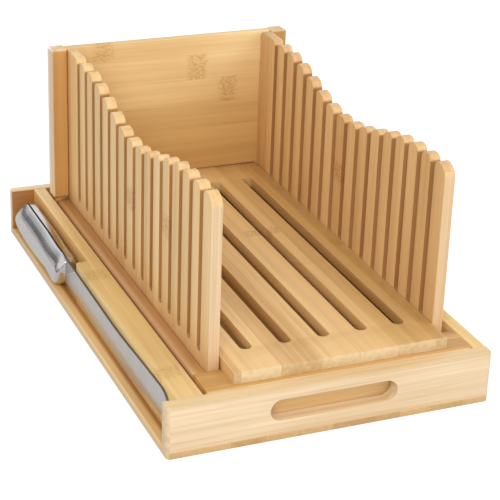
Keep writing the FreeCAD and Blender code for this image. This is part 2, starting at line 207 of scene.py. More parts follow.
class Shader(Nodes):
    """One material on a Principled shader, and the nodes that feed it."""

    def __init__(self, name: str) -> None:
        """Makes the material with its bare shader.

        Args:
            name: the material's name.
        """
        self.material = bpy.data.materials.new(name)
        self.material.use_nodes = True
        super().__init__(self.material.node_tree)
        self.surface = self.node("ShaderNodeBsdfPrincipled", {}, {})
        self.node("ShaderNodeOutputMaterial", {}, {0: self.surface.outputs[0]})

    def place(self) -> tuple[Value, Value, Value]:
        """The point's X, Y and Z on the object."""
        coordinates = self.node("ShaderNodeTexCoord", {}, {}).outputs["Object"]
        return tuple(Value(self, out) for out in self.node("ShaderNodeSeparateXYZ", {}, {0: coordinates}).outputs)

    def vector(self, x: Number, y: Number, z: Number) -> Socket:
        """Joins three numbers into a vector."""
        return self.node("ShaderNodeCombineXYZ", {}, {0: x, 1: y, 2: z}).outputs[0]

    def noise(self, at: Sequence[Number], along: float, across: float, detail: float, rough: float = 0.5) -> Value:
        """Soft noise that is drawn out along the first of three directions.

        Args:
            at: the place, in the three directions.
            along: bumps per metre in the first.
            across: bumps per metre in the others.
            detail: how many finer layers it has.
            rough: how strong each finer layer is.

        Returns:
            A number from 0 to 1.
        """
        point = self.vector(at[0] * along, at[1] * across, at[2] * across)
        inputs = {"Vector": point, "Scale": 1.0, "Detail": detail, "Roughness": rough}
        return Value(self, self.node("ShaderNodeTexNoise", {}, inputs).outputs[0])

    def chance(self, x: Number, y: Number, z: Number = 0.0) -> Value:
        """A number from 0 to 1 that is the same wherever the three inputs are."""
        node = self.node("ShaderNodeTexWhiteNoise", {}, {"Vector": self.vector(x, y, z)})
        return Value(self, node.outputs["Value"])

    def mix(self, share: Number, one: Given, other: Given, way: str = "MIX") -> Socket:
        """Blends two colours.

        Args:
            share: 0 gives one, 1 gives the other.
            one: a colour or socket.
            other: a colour or socket.
            way: how they blend, such as MIX or MULTIPLY.

        Returns:
            The blended colour's socket.
        """
        settings = {"data_type": "RGBA", "clamp_factor": True, "blend_type": way}
        return self.node("ShaderNodeMix", settings, {0: share, 6: one, 7: other}).outputs[2]

    def patched(self, colour: Socket, point: Sequence[Value], patches: Iterable[Union[Patch, SawBurnAndShade]]) -> Socket:
        """Multiplies a colour by each patch's ratio where the patch lies.

        Args:
            colour: the colour's socket.
            point: X, Y and Z on the object.
            patches: the patches, in order.

        Returns:
            The new colour's socket.
        """
        for patch in patches:
            colour = self.mix(patch.share(point), colour, patch.ratio, "MULTIPLY")
        return colour

    def feed(self, inputs: dict[str, Given]) -> None:
        """Sets or links inputs of the surface, by name."""
        for name, given in inputs.items():
            self.give(self.surface.inputs[name], given)

    def bump(self, height: Value, depth: float) -> None:
        """Raises the surface by height times depth, in metres."""
        node = self.node("ShaderNodeBump", {}, {"Strength": 1.0, "Distance": depth, "Height": height})
        self.feed({"Normal": node.outputs[0]})


# ---- finishes -----------------------------------------------------------------------------------
class Grain(Enum):
    """The axis that the fibres run along, with the axes across and through the strips."""

    RIGHT = (0, 2, 1)
    BACK = (1, 0, 2)
    UP = (2, 1, 0)


@dataclass(frozen=True)
class Patch:
    """Part of a piece whose tone differs, mostly as painted light and painted shade, between planes at (low, high,
    width of the soft border).

    Attributes:
        ratio: what the colour is multiplied by there.
        x: the planes across X, if they bound it.
        y: the planes across Y.
        z: the planes across Z.
        slant: the planes that lean as the mouth of the blade's plunge does.
        lean: how much further back the slanting planes lie per millimetre down.
    """

    ratio: Colour
    x: Span = None
    y: Span = None
    z: Span = None
    slant: Span = None
    lean: float = 1.845

    def share(self, point: Sequence[Value]) -> Value:
        """How far a point lies in the part.

        Args:
            point: X, Y and Z on the object.

        Returns:
            1 inside and 0 outside, with soft borders.
        """
        spans = [(place, span) for place, span in zip(point, (self.x, self.y, self.z)) if span]
        if self.slant:
            spans.append((point[1] + point[2] * self.lean, self.slant))
        shares = []
        for place, (low, high, soft) in spans:
            low, high, half = low * MM, high * MM, soft * MM / 2
            shares.append(place.ramp(low - half, low + half) * place.ramp(high + half, high - half))
        return math.prod(shares[1:], start=shares[0])


@dataclass(frozen=True)
class SawBurnAndShade:
    """The brown that a saw leaves on the walls of a row of slots across Y, made darker still as painted shade in the
    slots.

    Attributes:
        ratio: what the wood's colour is multiplied by.
        first: middle of the first slot.
        pitch: distance between slots.
        count: how many there are.
        half: half of a slot's width.
        floor: height of the slots' bottoms.
        fade: where the brown starts and is full, outwards from a slot's wall.
    """

    ratio: Colour
    first: float = -127.75
    pitch: float = 18.0
    count: int = 15
    half: float = 2.8
    floor: float = 41.8
    fade: tuple[float, float] = (0.35, -0.05)

    def share(self, point: Sequence[Value]) -> Value:
        """How far a point lies on a slot's wall.

        Args:
            point: X, Y and Z on the object.

        Returns:
            1 on a wall and 0 elsewhere.
        """
        _, y, z = point
        pitch, half, start = self.pitch * MM, self.half * MM, (self.first - self.pitch / 2) * MM
        end = start + self.count * pitch
        away = abs(((y - start) / pitch).fraction() - 0.5) * pitch
        below = (self.floor * MM + half - z).most(0.0)
        reach = (away * away + below * below) ** 0.5
        row = y.ramp(start - MM, start) * y.ramp(end + MM, end)
        return reach.ramp(half + self.fade[0] * MM, half + self.fade[1] * MM) * row


# Noises in bamboo: bumps per metre along and across the fibres, detail and roughness.
HAIR = (22.0, 1500.0, 2.0)
STREAK = (5.0, 260.0, 3.0)
CLOUD = (9.0, 30.0, 1.0)
SPECK = (420.0, 640.0, 3.0, 0.7)
WANDER = (60.0, 160.0, 1.0)
# Shades of bamboo, as ratios of its clean tone.
PALE, DEEP, MARK = (1.10, 1.13, 1.20), (0.72, 0.60, 0.42), (0.58, 0.36, 0.17)


@dataclass(frozen=True)
class Bamboo:
    """Laminated bamboo: glued strips with fine fibres and speckled nodes.

    Attributes:
        name: the material's name.
        tone: colour code of the clean wood.
        grain: where the fibres run.
        strip: width of a strip.
        ply: thickness of a strip.
        shift: moves the strips' joints across the piece.
        variety: how far strips differ in tone.
        fibre: how strongly the fibres show.
        node_share: share of the strips that show nodes wherever these fall.
        nodes: places of single nodes, as (along, across).
        node_depth: how dark the nodes' specks are.
        patches: parts whose tone differs, mostly painted light and painted shade.
        node_every: distance between nodes on one strip.
        cloud: how far the tone drifts along a strip.
        seam: how dark the joints between strips are.
        sheen: roughness of the oiled surface.
    """

    name: str
    tone: str
    grain: Grain
    strip: float
    ply: float
    shift: float = 0.0
    variety: float = 0.10
    fibre: float = 0.20
    node_share: float = 0.0
    nodes: Outline = ()
    node_depth: float = 0.42
    patches: tuple[Union[Patch, SawBurnAndShade], ...] = ()
    node_every: float = 230.0
    cloud: float = 0.22
    seam: float = 0.35
    sheen: float = 0.42

    def material(self) -> Material:
        """Builds the material."""
        shader = Shader(self.name)
        point = shader.place()
        along, across, through = place = [point[axis] for axis in self.grain.value]
        column = (across + self.shift * MM) / (self.strip * MM)
        row = (through + self.shift * MM) / (self.ply * MM)
        strip_tone = shader.chance(column.floor(), row.floor())
        strip_start = shader.chance(column.floor(), row.floor(), 7.0)

        hair = shader.noise(place, *HAIR)
        streak = shader.noise((along + strip_start * 8.0, across, through), *STREAK)
        thread = streak.ramp(0.60, 0.78) * hair.ramp(0.35, 0.65)
        knot = self._knots(shader, along, across, column, strip_start)
        speckle = knot * shader.noise(place, *SPECK).ramp(0.46, 0.60)
        seam = abs(column.fraction() - 0.5).ramp(0.485, 0.499) * self.seam

        pale, deep, mark = (toned(linear(self.tone), ratio) for ratio in (PALE, DEEP, MARK))
        shade = (strip_tone - 0.5) * (2.0 * self.variety) + (shader.noise(place, *CLOUD) - 0.5) * self.cloud
        shade = shade + (hair - 0.5) * self.fibre + (streak - 0.5) * (2.2 * self.fibre)
        colour = shader.mix(shade.ramp(-0.30, 0.42), pale, deep)
        colour = shader.mix(thread * self.fibre + knot * 0.16 + seam, colour, deep)
        colour = shader.mix(speckle * self.node_depth, colour, mark)
        shader.feed({"Base Color": shader.patched(colour, point, self.patches),
                     "Roughness": self.sheen + (hair - 0.5) * 0.16 + knot * 0.08,
                     "Coat Weight": 0.12, "Coat Roughness": 0.28})
        shader.bump(hair * 0.6 + streak * 0.4 - speckle * 0.8, 0.12 * MM)
        return shader.material

    def _knots(self, shader: Shader, along: Value, across: Value, column: Value, start: Value) -> Value:
        """Where the bamboo's nodes lie.

        Args:
            shader: the material being built.
            along: distance along the fibres.
            across: distance across them.
            column: distance across, in strips.
            start: each strip's own number from 0 to 1.

        Returns:
            1 on a node and 0 away from one.
        """
        every = self.node_every * MM
        wander = (shader.noise((along, across, 0.0), *WANDER) - 0.5) * (4 * MM)
        phase = (along / every + start * 5.0).fraction() - 0.5
        shown = shader.chance(column.floor(), 3.0, 11.0).ramp(1.0 - self.node_share, 1.001 - self.node_share)
        mask = abs(phase * every + wander).ramp(7 * MM, 3 * MM) * shown
        for node_along, node_across in self.nodes:
            near = abs(along - node_along * MM + wander).ramp(10.5 * MM, 4 * MM)
            same = column.floor() - math.floor((node_across + self.shift) / self.strip)
            mask = mask.most(near * abs(same).ramp(0.6, 0.4))
        return mask


@dataclass(frozen=True)
class Steel:
    """Stainless steel with fine lines.

    Attributes:
        name: the material's name.
        tone: colour code.
        roughness: mean roughness.
        lines: the axis that the lines run along.
        fineness: lines per metre across.
        depth: how far the lines stand.
        patches: parts whose tone differs.
        smear: bumps per metre of the wiped-dull areas along and across the lines, and their detail.
        uneven: how far the roughness wanders.
    """

    name: str
    tone: str
    roughness: float
    lines: Grain
    fineness: float = 2600.0
    depth: float = 0.008
    patches: tuple[Patch, ...] = ()
    smear: tuple[float, float, float] = (18.0, 90.0, 2.0)
    uneven: float = 0.10

    def material(self) -> Material:
        """Builds the material."""
        shader = Shader(self.name)
        point = shader.place()
        place = [point[axis] for axis in self.lines.value]
        line = shader.noise(place, 30.0, self.fineness, 2.0)
        smear = shader.noise(place, *self.smear)
        clean = linear(self.tone)
        colour = shader.mix((line - 0.5) * 0.5 + smear * 0.5, clean, toned(clean, (0.82, 0.82, 0.82)))
        shader.feed({"Base Color": shader.patched(colour, point, self.patches), "Metallic": 1.0,
                     "Roughness": self.roughness + (smear - 0.5) * self.uneven + (line - 0.5) * 0.06})
        shader.bump(line, self.depth * MM)
        return shader.material


@dataclass(frozen=True)
class Flecked:
    """A plain dull finish with fine flecks, as on turned dowels, and dark in the grip's groove as painted shade.

    Attributes:
        name: the material's name.
        tone: colour code.
        flecks: flecks per metre.
    """

    name: str
    tone: str
    flecks: float = 700.0

    def material(self) -> Material:
        """Builds the material."""
        shader = Shader(self.name)
        fleck = shader.noise(shader.place(), self.flecks, self.flecks, 3.0)
        clean = linear(self.tone)
        shader.feed({"Base Color": shader.mix(fleck.ramp(0.35, 0.75), clean, toned(clean, (0.7, 0.7, 0.7))),
                     "Roughness": 0.6 + fleck * 0.1})
        return shader.material


# ---- modelling bench ----------------------------------------------------------------------------
class Bench:
    """Modelling steps that the sub-assemblies share."""

    @staticmethod
    def alone(piece: Piece) -> None:
        """Selects one piece and nothing else.

        Args:
            piece: the piece.
        """
        if bpy.context.object and bpy.context.object.mode != "OBJECT":
            bpy.ops.object.mode_set(mode="OBJECT")
        bpy.ops.object.select_all(action="DESELECT")
        piece.select_set(True)
        bpy.context.view_layer.objects.active = piece

    @staticmethod
    @contextmanager
    def editing(piece: Piece) -> Iterator[None]:
        """Opens a piece's mesh with everything selected, and closes it at the end.

        Args:
            piece: the piece.

        Yields:
            Nothing, while the mesh is open.
        """
        Bench.alone(piece)
        bpy.ops.object.mode_set(mode="EDIT")
        bpy.ops.mesh.select_all(action="SELECT")
        yield
        bpy.ops.object.mode_set(mode="OBJECT")

    @staticmethod
    def settle(piece: Piece, name: str) -> Piece:
        """Moves a piece's place and size into its mesh and names it.

        Args:
            piece: the piece.
            name: its name.

        Returns:
            The piece.
        """
        Bench.alone(piece)
        bpy.ops.object.transform_apply(location=True, rotation=True, scale=True)
        piece.name = piece.data.name = name
        return piece

    @staticmethod
    def plank(name: str, low: Vector, high: Vector) -> Piece:
        """A squared block between two corners.

        Args:
            name: the piece's name.
            low: its lowest corner.
            high: its highest corner.

        Returns:
            The block, ready to be shaped.
        """
        bpy.ops.object.select_all(action="DESELECT")
        bpy.ops.mesh.primitive_cube_add(size=1.0, location=(low + high) / 2, scale=high - low)
        return Bench.settle(bpy.context.object, name)

    @staticmethod
    def peg(name: str, foot: Vector, height: float, radii: tuple[float, float], sides: int) -> Piece:
        """A round peg that stands upright, straight or tapered.

        Args:
            name: the piece's name.
            foot: the middle of its lower end.
            height: its length.
            radii: its radius at the foot and at the top.
            sides: how many faces go round it.

        Returns:
            The peg.
        """
        bpy.ops.object.select_all(action="DESELECT")
        bpy.ops.mesh.primitive_cone_add(vertices=sides, radius1=radii[0], radius2=radii[1], depth=height,
                                        location=foot + Vector((0, 0, height / 2)))
        return Bench.settle(bpy.context.object, name)

    @staticmethod
    def board(name: str, node: str, edge: float, steps: int = 3) -> Piece:
        """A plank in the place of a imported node, with its edges eased."""
        piece = Bench.plank(name, *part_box(node))
        return Bench.ease(piece, edge, steps)

    @staticmethod
    def round_edges(piece: Piece, radius: float, steps: int, wanted: EdgeTest) -> None:
        """Bevels the edges that wanted(end, end) picks.

        Args:
            piece: the piece.
            radius: size of the rounding.
            steps: how many faces it has.
            wanted: tells from an edge's ends whether it is rounded.
        """
        with Bench.editing(piece):
            bpy.ops.mesh.select_mode(type="EDGE")
            bpy.ops.mesh.select_all(action="DESELECT")
            for edge in bmesh.from_edit_mesh(piece.data).edges:
                edge.select = wanted(edge.verts[0].co, edge.verts[1].co)
            bmesh.update_edit_mesh(piece.data)
            bpy.ops.mesh.bevel(offset=radius, segments=steps, profile=0.5, clamp_overlap=True)

    @staticmethod
    def slice_across(piece: Piece, places: Iterable[float], axis: int) -> None:
        """Cuts edges into a piece and keeps both sides.

        Args:
            piece: the piece.
            places: where, along the axis.
            axis: 0, 1 or 2 for X, Y or Z.
        """
        normal = Vector(float(i == axis) for i in range(3))
        with Bench.editing(piece):
            for place in places:
                bpy.ops.mesh.select_all(action="SELECT")
                bpy.ops.mesh.bisect(plane_co=normal * place, plane_no=normal)

    @staticmethod
    def joined(pieces: Sequence[Piece]) -> Piece:
        """Joins pieces into the first.

        Args:
            pieces: the pieces, of which only the first is left.

        Returns:
            The first.
        """
        Bench.alone(pieces[0])
        for piece in pieces[1:]:
            piece.select_set(True)
        if len(pieces) > 1:
            bpy.ops.object.join()
        return pieces[0]

    @staticmethod
    def repeated(piece: Piece, shifts: Iterable[Sequence[float]]) -> list[Piece]:
        """Copies of a piece, each with a mesh of its own.

        Args:
            piece: the piece.
            shifts: how far each copy stands from it.

        Returns:
            The copies.
        """
        copies = []
        for shift in shifts:
            copy = bpy.data.objects.new(piece.name, piece.data.copy())
            copy.data.transform(Matrix.Translation(Vector(shift)))
            bpy.context.scene.collection.objects.link(copy)
            copies.append(copy)
        return copies

    @staticmethod
    def cut(piece: Piece, cutter: Piece, shifts: Iterable[Sequence[float]] = ()) -> None:
        """Takes a cutter and its shifted copies out of a piece, and removes them.

        Args:
            piece: the piece.
            cutter: what is taken out.
            shifts: how far each copy of the cutter stands from it.
        """
        tool = Bench.joined([cutter, *Bench.repeated(cutter, shifts)])
        Bench.alone(piece)
        boolean = piece.modifiers.new("cut", "BOOLEAN")
        boolean.operation = "DIFFERENCE"
        boolean.solver = "EXACT"
        boolean.object = tool
        bpy.ops.object.modifier_apply(modifier=boolean.name)
        bpy.data.objects.remove(tool)
        with Bench.editing(piece):
            bpy.ops.mesh.remove_doubles(threshold=TINY)
            bpy.ops.mesh.dissolve_limited(angle_limit=math.radians(0.1))

    @staticmethod
    def ease(piece: Piece, radius: float, steps: int = 3, angle: float = 32.0) -> Piece:
        """Breaks every sharp edge of a piece and smooths what is left.

        Args:
            piece: the piece.
            radius: size of the broken edge.
            steps: faces in each.
            angle: edges that turn by more degrees than this are sharp.

        Returns:
            The piece.
        """
        Bench.alone(piece)
        bevel = piece.modifiers.new("ease", "BEVEL")
        bevel.width = radius
        bevel.segments = steps
        bevel.limit_method = "ANGLE"
        bevel.angle_limit = math.radians(angle)
        bevel.miter_outer = "MITER_ARC"
        bevel.use_clamp_overlap = True
        bpy.ops.object.modifier_apply(modifier=bevel.name)
        return Bench.smooth(piece, 40)

    @staticmethod
    def smooth(piece: Piece, angle: float) -> Piece:
        """Shades a piece smooth, but for its sharp edges.

        Args:
            piece: the piece.
            angle: edges that turn by more degrees than this stay sharp.

        Returns:
            The piece.
        """
        Bench.alone(piece)
        bpy.ops.object.shade_smooth_by_angle(angle=math.radians(angle))
        return piece

    @staticmethod
    def dress(piece: Piece, finishes: Union[Material, Sequence[Material]], body: str, slot: str, node: str) -> None:
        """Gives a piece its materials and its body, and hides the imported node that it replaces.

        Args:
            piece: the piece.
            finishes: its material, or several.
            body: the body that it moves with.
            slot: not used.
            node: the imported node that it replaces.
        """
        piece.data.materials.clear()
        for finish in [finishes] if isinstance(finishes, Material) else finishes:
            piece.data.materials.append(finish)
        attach(piece, body)
        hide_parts(node)
        LOG.info("%s: %d faces on %s", piece.name, len(piece.data.polygons), body)

    @staticmethod
    def redress(node: str, finish: Material) -> None:
        """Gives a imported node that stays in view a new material.

        Args:
            node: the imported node.
            finish: its material.
        """
        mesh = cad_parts[node].data
        mesh.materials.clear()
        mesh.materials.append(finish)


def edges_along(axis: int, **at: float) -> EdgeTest:
    """Picks the edges that run along one axis.

    Args:
        axis: 0, 1 or 2 for X, Y or Z.
        at: the x, y or z that an edge has, where that matters.

    Returns:
        A test of an edge's two ends.
    """
    def wanted(one: Vector, other: Vector) -> bool:
        """Tells whether an edge is picked.

        Args:
            one: one end.
            other: the other end.

        Returns:
            True if it is.
        """
        gap = [abs(a - b) for a, b in zip(one, other)]
        long = gap.pop(axis)
        return long > TINY > max(gap) and all(abs(getattr(one, key) - place) < TINY for key, place in at.items())
    return wanted


def screw_places(mesh: bpy.types.Mesh, apart: float = 8 * MM) -> list[tuple[float, float]]:
    """Finds where separate upright fixings of one mesh stand.

    Args:
        mesh: the mesh of all the fixings.
        apart: points nearer to each other than this belong to one fixing.

    Returns:
        The middle of each, as (x, y).
    """
    groups: list[list[Vector]] = []
    for vertex in mesh.vertices:
        for group in groups:
            if math.hypot(group[0].x - vertex.co.x, group[0].y - vertex.co.y) < apart:
                group.append(vertex.co)
                break
        else:
            groups.append([vertex.co])
    places = []
    for group in groups:
        xs, ys = [v.x for v in group], [v.y for v in group]
        places.append(((min(xs) + max(xs)) / 2, (min(ys) + max(ys)) / 2))
    return places


# ---- tray ---------------------------------------------------------------------------------------
@dataclass
class Tray:
    """The bottom plate with its walls, the divider beside the knife, ledges, screws and dowels."""

    body: str = "tray"
    edge: float = 0.8 * MM
    front_edge: float = 1.1 * MM
    ledge_edge: float = 0.5 * MM
    divider_edge: float = 0.4 * MM
    corner: float = 3.0 * MM
    slot_length: float = 87 * MM
    slot_height: float = 15 * MM
    slot_middle: float = 20.7 * MM
    grip_bay: tuple[float, float] = (8.5 * MM, 139 * MM)
    sink_foot: float = -1.0 * MM
    sink_height: float = 3.4 * MM
    sink_radii: tuple[float, float] = (4.5 * MM, 1.7 * MM)
    head_height: float = 2.4 * MM
    head_radii: tuple[float, float] = (3.2 * MM, 1.6 * MM)
    recess: tuple[float, float, float] = (1.9 * MM, 0.45 * MM, 1.3 * MM)
    tip: float = 0.3 * MM
    wall: Bamboo = Bamboo(
        "tray_bamboo", "F1D6B0", Grain.RIGHT, 34, 9.5, fibre=0.26,
        # Painted shade darkens the walls' top faces, and painted light lifts the inside of the handle slot.
        patches=(Patch((0.87, 0.81, 0.67), z=(35.1, 60, 0.6)),
                 Patch((0.98, 1.02, 1.06), x=(-43.6, 43.6, 0.3), y=(-180.1, -171.9, 0.4), z=(13, 28.4, 0.3))))
    back: Bamboo = Bamboo(
        "back_wall_bamboo", "EFD0A4", Grain.RIGHT, 5, 8, variety=0.12, fibre=0.30,
        # Painted shade darkens the back wall from y 160 to 173.2, where its inner face lies, and painted light
        # brightens its top face.
        patches=(Patch((0.50, 0.30, 0.13), y=(160, 173.2, 0.6)), Patch((1.12, 1.16, 1.25), z=(35.2, 60, 0.4))))
    side: Bamboo = Bamboo(
        "tray_side_bamboo", "EAC885", Grain.BACK, 17.5, 16, fibre=0.22, nodes=((10, -95), (-138, -95)), node_depth=0.3,
        # Painted reflected light warms the divider's shaded left side beside the grip; the divider's top is paler
        # towards the rear and darker towards the front.
        patches=(Patch((1.14, 0.95, 0.84), x=(-94.5, -93.1, 0.3), y=(34.2, 172, 0.5)),
                 Patch((1.20, 1.28, 1.60), x=(-103, -84, 0.5), y=(95, 300, 120), z=(35.1, 60, 0.5)),
                 Patch((0.92, 0.92, 0.97), x=(-103, -84, 0.5), y=(-300, -90, 80), z=(35.1, 60, 0.5))))
    base: Bamboo = Bamboo(
        "base_bamboo", "CFA872", Grain.BACK, 23, 9, variety=0.22, node_share=0.35,
        # Painted light brightens the plate's top face, a painted shadow runs beside the blade's foot, the knife's bay
        # darkens towards the front, and painted light pales the left edge.
        patches=(Patch((1.22, 1.18, 1.0), z=(4.0, 9, 0.4)),
                 Patch((0.52, 0.36, 0.20), x=(-104.9, -101, 3), y=(-172, 180, 2)),
                 Patch((0.82, 0.80, 0.78), x=(-109.6, -101, 1.0), y=(-172, -60, 90)),
                 Patch((1.12, 1.25, 1.6), x=(-113, -109.6, 1.0))))

    def build(self) -> None:
        """Builds every piece of the tray."""
        wall, side = self.wall.material(), self.side.material()
        (x, y), *others = screw_places(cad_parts["base_screws"].data)
        first = Vector((x, y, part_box("base_screws")[0].z))
        shifts = [(to_x - x, to_y - y, 0) for to_x, to_y in others]
        self.bottom(self.base.material(), first, shifts)
        self.front(wall)
        low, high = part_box("back_wall")
        rear = self.plate("wall_back", low, high, y=high.y)
        Bench.dress(Bench.ease(rear, self.edge), self.back.material(), self.body, "bamboo_tray", "back_wall")
        right = Bench.board("wall_right", "right_wall", self.edge)
        Bench.dress(right, side, self.body, "bamboo_tray", "right_wall")
        self.divider(side)
        for node in ("front_ledge", "rear_ledge"):
            Bench.dress(Bench.board(f"{node}_piece", node, self.ledge_edge, 2), wall, self.body, "bamboo_tray", node)
        self.screws(Steel("screw_steel", "B9B9BC", 0.34, Grain.UP).material(), first, shifts)
        Bench.redress("wall_dowels", Flecked("dowel_beech", "D8B888").material())
        Bench.redress("knife_magnets", Steel("magnet_nickel", "C4C4C8", 0.2, Grain.BACK).material())

    def plate(self, name: str, low: Vector, high: Vector, **at: float) -> Piece:
        """A plank with rounded upright corners.

        Args:
            name: the piece's name.
            low: its lowest corner.
            high: its highest corner.
            at: the x or y of the corners that are rounded, if not all are.

        Returns:
            The plank.
        """
        piece = Bench.plank(name, low, high)
        Bench.round_edges(piece, self.corner, 6, edges_along(2, **at))
        return piece

    def bottom(self, finish: Material, first: Vector, shifts: Sequence[Sequence[float]]) -> None:
        """The bottom plate, its upright corners rounded and its screw holes countersunk.

        Args:
            finish: its material.
            first: the foot of the first screw.
            shifts: how far the other screws stand from it.
        """
        low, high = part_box("base_plate")
        piece = self.plate("bottom_plate", low, high)
        foot = Vector((first.x, first.y, low.z + self.sink_foot))
        Bench.cut(piece, Bench.peg("countersink_cutter", foot, self.sink_height, self.sink_radii, 24), shifts)
        Bench.dress(Bench.ease(piece, self.edge), finish, self.body, "bamboo_base", "base_plate")

    def front(self, finish: Material) -> None:
        """The front wall with its long handle slot.

        Args:
            finish: its material.
        """
        low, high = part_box("front_wall")
        piece = self.plate("wall_front", low, high, y=low.y)
        half = Vector((self.slot_length / 2, 3 * (high.y - low.y), self.slot_height / 2))
        middle = Vector(((low.x + high.x) / 2, low.y, self.slot_middle))
        cutter = Bench.plank("slot_cutter", middle - half, middle + half)
        Bench.round_edges(cutter, self.slot_height * 0.4995, 12, edges_along(1))
        Bench.cut(piece, cutter)
        Bench.dress(Bench.ease(piece, self.front_edge, 4), finish, self.body, "bamboo_tray", "front_wall")

    def divider(self, finish: Material) -> None:
        """The divider, thinner where the knife's grip lies beside it, and bored for the magnets.

        Args:
            finish: its material.
        """
        low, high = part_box("divider")
        piece = Bench.plank("divider_board", low, high)
        past = Vector((MM, MM, MM))
        step = Vector((low.x + self.grip_bay[0], high.y - self.grip_bay[1], 0))
        Bench.cut(piece, Bench.plank("bay_cutter", Vector((low.x, step.y + MM, low.z)) - past,
                                     Vector((step.x - MM, high.y, high.z)) + past))
        magnet_low, magnet_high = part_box("knife_magnets")
        radius = (magnet_high.z - magnet_low.z) / 2
        bpy.ops.object.select_all(action="DESELECT")
        bpy.ops.mesh.primitive_cylinder_add(vertices=32, radius=radius, depth=2 * (magnet_high.x - magnet_low.x),
                                            location=magnet_low + Vector((0, radius, radius)),
                                            rotation=(0, math.pi / 2, 0))
        bore = Bench.settle(bpy.context.object, "magnet_cutter")
        Bench.cut(piece, bore, [(0, magnet_high.y - magnet_low.y - 2 * radius, 0)])
        Bench.dress(Bench.ease(piece, self.divider_edge, 2), finish, self.body, "bamboo_tray", "divider")

    def screws(self, finish: Material, first: Vector, shifts: Sequence[Sequence[float]]) -> None:
        """Countersunk screws with a cross recess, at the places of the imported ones.

        Args:
            finish: their material.
            first: the foot of the first.
            shifts: how far the others stand from it.
        """
        low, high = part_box("base_screws")
        arm, blade, deep = self.recess
        head = Bench.peg("screw_head", first, self.head_height, self.head_radii, 24)
        for wide, broad in ((arm, blade), (blade, arm)):
            Bench.cut(head, Bench.plank("recess_cutter", first - Vector((wide, broad, MM)),
                                        first + Vector((wide, broad, deep))))
        shank = Bench.peg("screw_shank", first + Vector((0, 0, self.head_height)),
                          high.z - low.z - self.head_height, (self.head_radii[1], self.tip), 16)
        screw = Bench.joined([shank, head])
        whole = Bench.settle(Bench.joined([screw, *Bench.repeated(screw, shifts)]), "cross_screws")
        Bench.dress(Bench.smooth(whole, 35), finish, self.body, "fixings", "base_screws")


